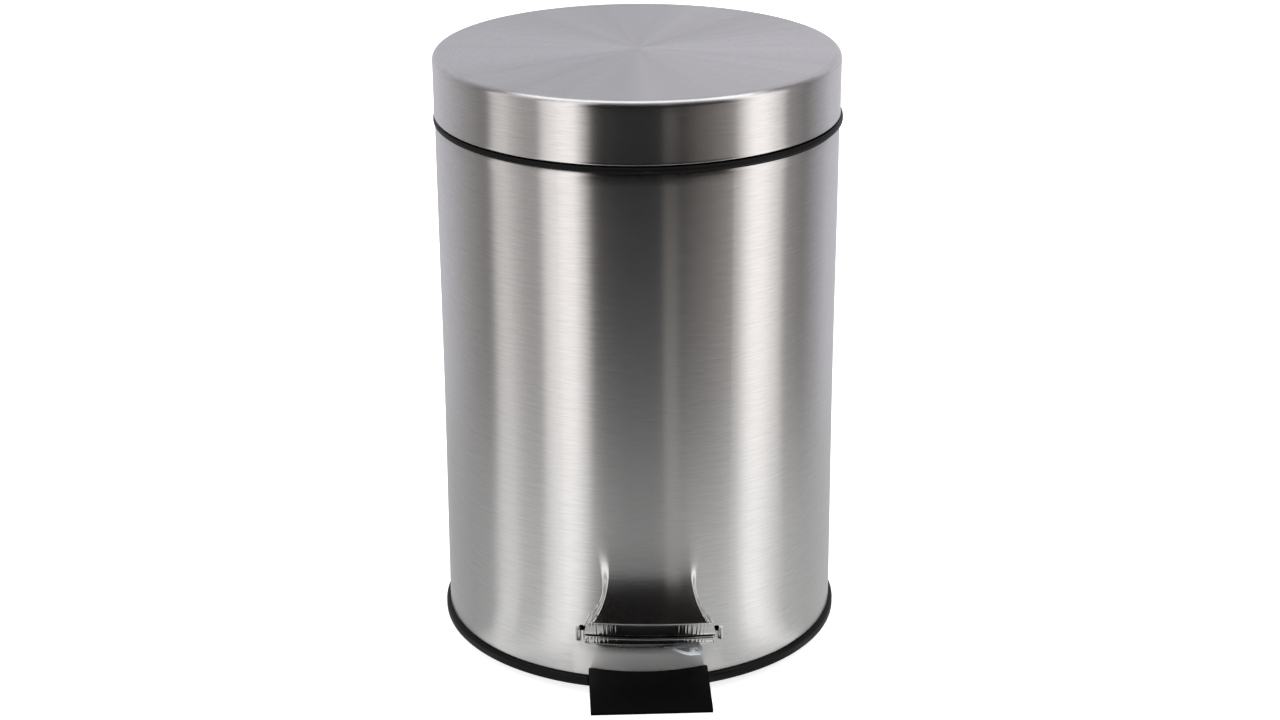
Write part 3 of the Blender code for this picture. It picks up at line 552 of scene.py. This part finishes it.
# ================================================================= black rim and base
collar = revolve("rim_collar", [(80.9, RING_TOP)] + [(83.6, RING_TOP)] + arc(RING_R - 0.9, RING_TOP - 0.9, 0.9, 80, 0, 5)
    + [(RING_R, BODY_TOP + 0.9)] + arc(RING_R - 0.6, BODY_TOP + 0.9, 0.6, 0, -90, 3)
    + [(83.2, BODY_TOP + 0.3), (83.2, 215.6), (82.8, 215.0), (81.9, 215.0), (81.6, 215.3), (81.6, 222.0), (70.0, 222.0), (69.6, 222.4), (69.6, 223.6), (70.0, 224.0),
       (79.6, 224.0), (80.0, 224.4), (80.0, RING_TOP - 0.7), (80.2, RING_TOP - 0.3)], BLACK, 240)
carve(collar, [block("n", (-10.5, 72.0, 212.0), (10.5, 90.0, 232.0))])
collar.location.x += 0.35 * MM
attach(collar, "bin")
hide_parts("top_collar")

tray = revolve("base_ring", [(0.0, 5.6), (60.0, 5.6), (80.4, 5.6)] + arc(80.4, 6.6, 1.0, -90, 0, 4) + [(81.4, 18.0), (81.7, 18.6), (82.9, 18.6), (83.2, 18.0),
    (83.2, 8.4), (84.7, 8.4)] + arc(BASE_R - 1.5, 6.9, 1.5, 75, 0, 6) + [(BASE_R, 5.2)] + arc(BASE_R - 1.0, 5.0, 1.0, 0, -90, 5)
    + [(82.0, 4.0), (81.4, 4.3), (78.0, 4.3), (77.4, 4.0), (40.0, 4.0), (39.4, 4.4), (36.0, 4.4), (35.4, 4.0), (0.0, 4.0)], BLACK, 240)
bay = block("bay", (-25.1, -92.0, 4.7), (25.1, -74.0, 9.0))
core = rod("core", (0.0, 0.0, 6.0), 83.25, 20.0, steps=240)
carve(bay, [core])
feet_at = []
for node in ("foot_front_right", "foot_rear_right", "foot_rear_left", "foot_front_left"):
    a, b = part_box(node)
    feet_at.append((node, ((a + b) / 2 - CAN) / MM))
tools = [bay, block("gate", (-15.6, -92.0, 4.9), (15.6, -78.0, 40.0))]
tools += [rod("h", (c.x, c.y, 5.0), 2.2, 8.0, steps=24) for _, c in feet_at]
for node in ("bracket_rivet_left", "bracket_rivet_right", "clip_rivet"):
    a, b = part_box(node)
    c = ((a + b) / 2 - CAN) / MM
    tools.append(rod("h", (c.x, c.y, 5.0), 1.75, 12.0, steps=24))
carve(tray, tools)
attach(tray, "bin")
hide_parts("base_tray")

for node, c in feet_at:
    foot = revolve(node + "_rubber", [(0.0, 7.1), (2.0, 7.1), (2.7, 6.8), (3.0, 6.3), (2.9, 5.9), (1.9, 5.9), (1.9, 3.7), (6.6, 3.7), (7.0, 3.3), (7.0, 0.9),
                                      (6.8, 0.35), (6.3, 0.0), (4.2, 0.0), (3.9, 0.3), (2.4, 0.3), (2.1, 0.0), (0.0, 0.0)], RUBBER, 48)
    foot.location = CAN + Vector((c.x, c.y, 0.0)) * MM
    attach(foot, "bin")
    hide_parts(node)

# ================================================================= the zinc clip whose tongue hooks out under the mouth
strip_path = [(71.6, 6.4), (79.0, 6.4), (79.6, 7.0), (79.6, 22.0), (80.3, 22.7), (85.4, 22.7)]
bm = bmesh.new()
rings = []
for i, (r, z) in enumerate(strip_path):
    p0, p1 = strip_path[max(i - 1, 0)], strip_path[min(i + 1, len(strip_path) - 1)]
    dr, dz = p1[0] - p0[0], p1[1] - p0[1]
    n = math.hypot(dr, dz)
    nr, nz = -dz / n * 0.4, dr / n * 0.4
    rings.append([bm.verts.new(Vector((u, -(r + k * nr), z + k * nz)) * MM) for u, k in ((-4.6, -1), (4.6, -1), (4.6, 1), (-4.6, 1))])
bm.faces.new(rings[0][::-1])
bm.faces.new(rings[-1])
for a, b in zip(rings, rings[1:]):
    for i in range(4):
        bm.faces.new((a[i], a[(i + 1) % 4], b[(i + 1) % 4], b[i]))
bm.transform(Matrix.Rotation(math.radians(11.6), 4, "Z"))
clip = obj_from("zinc_clip", bm, ZINC, 30.0)
tongue_outline = [(-8.1, 23.1), (-8.2, 22.7), (-6.4, 21.7), (-3.2, 19.7), (-0.1, 17.9), (1.2, 17.2), (2.6, 16.9)]
tongue_outline += arc(4.9, 19.2, 2.6, -70, 20, 6) + [(7.6, 21.4), (7.0, 22.2), (6.9, 23.1)]
bm = bmesh.new()
back = [bm.verts.new(Vector((u, -84.75 - 0.52 * (23.1 - z), 23.1 - 0.58 * (23.1 - z))) * MM) for u, z in tongue_outline]
front = [bm.verts.new(Vector((u, -85.35 - 0.52 * (23.1 - z), 23.5 - 0.58 * (23.1 - z))) * MM) for u, z in tongue_outline]
bm.faces.new(back)
face = bm.faces.new(front[::-1])
for i in range(len(back)):
    j = (i + 1) % len(back)
    bm.faces.new((back[i], front[i], front[j], back[j]))
bmesh.ops.recalc_face_normals(bm, faces=bm.faces)
bmesh.ops.inset_region(bm, faces=[face], thickness=0.75 * MM, depth=-0.32 * MM, use_even_offset=True)
bm.transform(Matrix.Rotation(math.radians(9.9), 4, "Z"))
tongue = obj_from("tongue", bm, None)
bm = bmesh.new()
ring = [(-3.4, 21.5), (-0.6, 19.7), (1.0, 18.9), (1.9, 18.9), (2.3, 19.4), (2.3, 21.0), (1.8, 21.5)]
low = [bm.verts.new(Vector((u, -84.4 - 0.52 * (23.1 - z) + 3.0, 22.9 - 0.58 * (23.1 - z) - 2.0)) * MM) for u, z in ring]
top = [bm.verts.new(Vector((u, -84.4 - 0.52 * (23.1 - z) - 4.5, 22.9 - 0.58 * (23.1 - z) + 3.0)) * MM) for u, z in ring]
bm.faces.new(low)
bm.faces.new(top[::-1])
for i in range(len(ring)):
    j = (i + 1) % len(ring)
    bm.faces.new((low[i], top[i], top[j], low[j]))
bm.transform(Matrix.Rotation(math.radians(9.9), 4, "Z"))
slot_hole = obj_from("slot_hole", bm, None)
hole = rod("hole", (4.9, -86.6, 21.6), 0.7, 6.0, "Y", 24)
hole.data.transform(Matrix.Rotation(math.radians(9.9), 4, "Z"))
clip_low, clip_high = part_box("clip_rivet")
rivet_at = ((clip_low + clip_high) / 2 - CAN) / MM
carve(clip, [hole, slot_hole, rod("hole", (rivet_at.x, rivet_at.y, 6.4), 1.75, 4.0, steps=24)], joins=[tongue], smooth_deg=30.0)
soften = clip.modifiers.new("soft_edges", "BEVEL")
soften.width, soften.segments, soften.limit_method, soften.angle_limit = 0.14 * MM, 2, "ANGLE", math.radians(40)
settle(clip, 40.0)
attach(clip, "bin")
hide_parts("body_clip")

# ================================================================= inner bucket
bucket = revolve("bucket", [(0.0, 36.5), (50.0, 36.5)] + arc(58.4, 38.7, 2.2, -90, -5, 5) + [(64.0, 130.0), (67.5, 222.0), (67.6, 225.7), (67.9, 226.1), (68.4, 226.3)]
    + [(71.9, 226.3)] + arc(72.0, 225.5, 0.8, 80, 0, 3) + [(72.8, 224.6), (72.5, 224.3), (69.2, 224.3), (68.8, 223.9)]
    + [(65.5, 130.0), (62.2, 39.0)] + arc(59.6, 37.6, 2.6, 0, -90, 6) + [(52.0, 35.0), (51.4, 35.6), (48.0, 35.6), (47.4, 35.0), (0.0, 35.0)],
    BUCKET, 180)
ears = []
for s in (-1, 1):
    x0, x1 = sorted((68.9 * s, 70.6 * s))
    bm = bmesh.new()
    ring = [(-5.0, 225.0), (5.0, 225.0), (5.0, 229.0)] + arc(0.0, 230.6, 3.6, 10, 170, 14) + [(-5.0, 229.0)]
    low = [bm.verts.new((x0 * MM, y * MM, z * MM)) for y, z in ring]
    top = [bm.verts.new((x1 * MM, y * MM, z * MM)) for y, z in ring]
    bm.faces.new(low)
    bm.faces.new(top[::-1])
    for i in range(len(ring)):
        j = (i + 1) % len(ring)
        bm.faces.new((low[i], top[i], top[j], low[j]))
    ears.append(obj_from("ear", bm, None))
carve(bucket, [rod("h", (0.0, 0.0, 230.6), 1.75, 150.0, "X", 32), block("c", (-8.5, 69.4, 220.0), (8.5, 80.0, 240.0))], joins=ears)
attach(bucket, "bucket")
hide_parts("inner_bucket")

# ================================================================= CAD pieces that stay, with their finish
dress("pedal_pad", BLACK_PAD, 0.30, 3)
dress("hinge_bracket", BLACK, 0.45, 3)
dress("pedal_lever", ZINC, 0.15, 2)
dress("pivot_bracket", ZINC, 0.15, 2)
dress("lid_arm", ZINC, 0.15, 2)
for node in ("rod_guide_lower", "rod_guide_upper"):
    dress(node, BLACK, 0.4, 3)
for node in ("bracket_rivet_left", "bracket_rivet_right", "clip_rivet", "pad_rivet_left", "pad_rivet_right",
             "bracket_screw_left", "bracket_screw_right", "arm_screw_front", "arm_screw_rear",
             "pivot_pin_clip", "hinge_pin_clip", "rod_clip_top", "rod_clip_low"):
    dress(node, ZINC, 0.08, 2)
for node in ("pivot_pin", "hinge_pin"):
    dress(node, WIRE, 0.1, 2)
for node in ("push_rod", "bucket_bail"):
    dress(node, WIRE)
for node in ("lid_bumper_front", "lid_bumper_right", "lid_bumper_left"):
    dress(node, RUBBER, 0.08, 2)


# ================================================================= studio
def emission(name, strength_socket_maker):
    mat = bpy.data.materials.new(name)
    mat.use_nodes = True
    tree = mat.node_tree
    tree.nodes.clear()
    g = Graph(tree)
    out = g.node("ShaderNodeOutputMaterial")
    em = g.node("ShaderNodeEmission")
    g.link(em.outputs[0], out.inputs[0])
    strength_socket_maker(g, em)
    return mat


# what stands round the table, by direction: azimuth 0 is towards the camera, + to its right
FAR = [(-180, (0.545, 0.565, 0.620)), (-150, (0.615, 0.630, 0.690)), (-130, (0.525, 0.540, 0.575)), (-107, 0.33), (-95, 0.24), (-91, 0.30), (-87, 0.78),
       (-79, 0.80), (-74, 0.60), (-66, 0.42), (-57, 0.40), (-53.5, 0.92), (-42, 1.33), (-36, 1.28), (-29, 0.72), (-25, (0.13, 0.115, 0.11)),
       (-20, (0.036, 0.028, 0.025)), (-8, (0.008, 0.009, 0.012)), (5, (0.004, 0.005, 0.008)), (13, (0.014, 0.012, 0.012)), (16, (0.20, 0.19, 0.175)),
       (21, (0.20, 0.19, 0.175)), (24.5, (0.070, 0.063, 0.058)), (38, (0.14, 0.13, 0.125)), (55, (0.31, 0.30, 0.29)), (61, 0.85), (67, 1.36),
       (75, 1.42), (88, 0.84), (92, 0.36), (108, 0.22), (138, (0.625, 0.640, 0.70))]
NEAR = [(-180, 0.60), (-150, 0.50), (-118, 0.45), (-98, 0.50), (-88, 0.92), (-78, 0.90), (-73, 0.68), (-60, 0.66), (-54, 0.94), (-42, 1.30),
        (-34, 1.10), (-26, 0.78), (-18, 0.62), (-6, 0.56), (8, 0.56), (14, 0.61), (18, 0.70), (26, 0.64), (48, 0.72), (58, 0.88), (66, 1.28),
        (74, 1.30), (86, 0.92), (96, 0.66), (118, 0.56), (150, 0.58)]


WARM = (1.045, 1.0, 0.985)


def to_camera_axes(g, x, y):
    """Turns a horizontal position from the pedal's axes to the camera's."""
    c, s = math.cos(PEDAL_TURN), math.sin(PEDAL_TURN)
    return (g.math("ADD", g.math("MULTIPLY", x, c), g.math("MULTIPLY", y, -s)),
            g.math("ADD", g.math("MULTIPLY", x, s), g.math("MULTIPLY", y, c)))


def azimuth_socket(g, x, y):
    return g.math("ARCTAN2", x, g.math("MULTIPLY", y, -1.0))


def band_socket(g, azimuth, stops):
    """Brightness round the table at an azimuth in radians."""
    unit = g.math("ADD", g.math("DIVIDE", azimuth, 2 * math.pi), 0.5)
    return g.ramp(unit, [((a + 180.0) / 360.0, v) for a, v in stops])


world = bpy.data.worlds.new("studio")
world.use_nodes = True
bpy.context.scene.world = world
g = Graph(world.node_tree)
world.node_tree.nodes.clear()
out = g.node("ShaderNodeOutputWorld")
direction = g.node("ShaderNodeTexCoord").outputs["Generated"]
x, y, z = g.separate(direction)
x, y = to_camera_axes(g, x, y)
bands = band_socket(g, azimuth_socket(g, x, y), FAR)
up = g.math("MAXIMUM", z, 0.0)
ceiling = g.ramp(up, [(0.0, 0.0), (0.72, 0.0), (0.90, 1.0)])
# the dark end of the room, behind the camera, above the table's far edge
turn = azimuth_socket(g, x, y)
dusk = g.math("MULTIPLY", g.ramp(g.math("ADD", z, 0.10), [(0.0, 0.0), (0.06, 0.0), (0.12, 1.0), (0.62, 1.0), (0.74, 0.0)]),
              g.math("MULTIPLY", g.span(turn, -0.60, -0.44, 0.0, 1.0), g.span(turn, 0.86, 1.02, 1.0, 0.0)))
bands = g.mix(dusk, bands, (0.004, 0.0035, 0.003))
lit = g.mix(ceiling, g.mix(1.0, bands, WARM, "MULTIPLY"), (0.40, 0.40, 0.42))
# a long soft box overhead, from left to right
overhead = g.math("MULTIPLY", g.ramp(up, [(0.0, 0.0), (0.70, 0.0), (0.82, 1.0)]), g.ramp(g.math("ABSOLUTE", y), [(0.20, 1.0), (0.30, 0.0)]))
lit = g.mix(overhead, lit, (1.9, 1.9, 1.94))
reflected = g.node("ShaderNodeBackground")
g.link(lit, reflected.inputs[0])
plain = g.node("ShaderNodeBackground")
plain.inputs[0].default_value = (1.0, 1.0, 1.0, 1.0)
plain.inputs[1].default_value = 1.05
path = g.node("ShaderNodeLightPath")
pick = g.node("ShaderNodeMixShader")
g.link(path.outputs["Is Glossy Ray"], pick.inputs[0])
g.link(plain.outputs[0], pick.inputs[1])
g.link(reflected.outputs[0], pick.inputs[2])
g.link(pick.outputs[0], out.inputs[0])


def sheet(name, radius, z, mat, steps=96):
    bm = bmesh.new()
    bmesh.ops.create_circle(bm, cap_ends=True, segments=steps, radius=radius)
    mesh = bpy.data.meshes.new(name)
    bm.to_mesh(mesh)
    bm.free()
    o = bpy.data.objects.new(name, mesh)
    o.location = CAN + Vector((0, 0, z))
    bpy.context.scene.collection.objects.link(o)
    mesh.materials.append(mat)
    return o


floor_mat, floor_bsdf, gf = new_material("floor_paper")
floor_bsdf.inputs["Roughness"].default_value = 0.9
floor_bsdf.inputs["Specular IOR Level"].default_value = 0.1
floor_bsdf.inputs["Base Color"].default_value = (0.93, 0.93, 0.93, 1.0)
floor_bsdf.inputs["Emission Color"].default_value = (1.0, 1.0, 1.0, 1.0)
floor_bsdf.inputs["Emission Strength"].default_value = 0.75
floor = sheet("floor", 12.0, -0.0004, floor_mat)
floor.visible_glossy = False


def table_light(g, em):
    at = g.node("ShaderNodeTexCoord").outputs["Object"]
    x, y, z = g.separate(at)
    r = g.math("SQRT", g.math("ADD", g.math("MULTIPLY", x, x), g.math("MULTIPLY", y, y)))
    near = g.ramp(g.math("DIVIDE", r, 2.0), [(0.0, 1.0), (0.125, 1.0), (0.165, 0.40), (0.22, 0.06), (0.32, 0.0)])
    # the shine of a long lamp lies along the line on which it leaves the round wall
    x, y = to_camera_axes(g, x, y)
    az = azimuth_socket(g, x, y)
    for _ in range(4):
        wall = g.math("MULTIPLY", az, 0.478)
        x_out = g.math("SUBTRACT", x, g.math("MULTIPLY", g.math("SINE", wall), BODY_R * MM))
        y_out = g.math("ADD", y, g.math("MULTIPLY", g.math("COSINE", wall), BODY_R * MM))
        az = azimuth_socket(g, x_out, y_out)
    ahead = g.ramp(g.math("ABSOLUTE", az), [(0.0, 1.0), (0.36, 1.0), (0.60, 0.0)])
    shade = g.math("MULTIPLY", ahead, g.ramp(r, [(0.0, 0.0), (0.118, 0.0), (0.130, 1.0), (0.165, 1.0), (0.20, 0.0)]))
    near_light = g.mix(shade, band_socket(g, az, NEAR), (0.10, 0.095, 0.09))
    far_light = g.mix(g.math("MULTIPLY", ahead, g.ramp(r, [(0.0, 0.0), (0.58, 0.0), (0.95, 1.0)])), g.mix(1.0, band_socket(g, az, FAR), WARM, "MULTIPLY"), (0.006, 0.005, 0.005))
    g.link(g.mix(near, far_light, near_light), em.inputs[0])
    em.inputs[1].default_value = 1.0


table = sheet("table_seen_in_the_steel", 12.0, -0.0002, emission("table_light", table_light))
table.visible_camera = False
table.visible_diffuse = False
table.visible_shadow = False
table.visible_transmission = False

key = bpy.data.lights.new("overhead_softbox", "AREA")
key.shape = "RECTANGLE"
key.size, key.size_y = 1.4, 1.0
key.energy = 9.0
key_o = bpy.data.objects.new("overhead_softbox", key)
key_o.location = CAN + Vector((-0.2, 0.1, 1.7))
key_o.visible_glossy = False
key_o.visible_camera = False
bpy.context.scene.collection.objects.link(key_o)
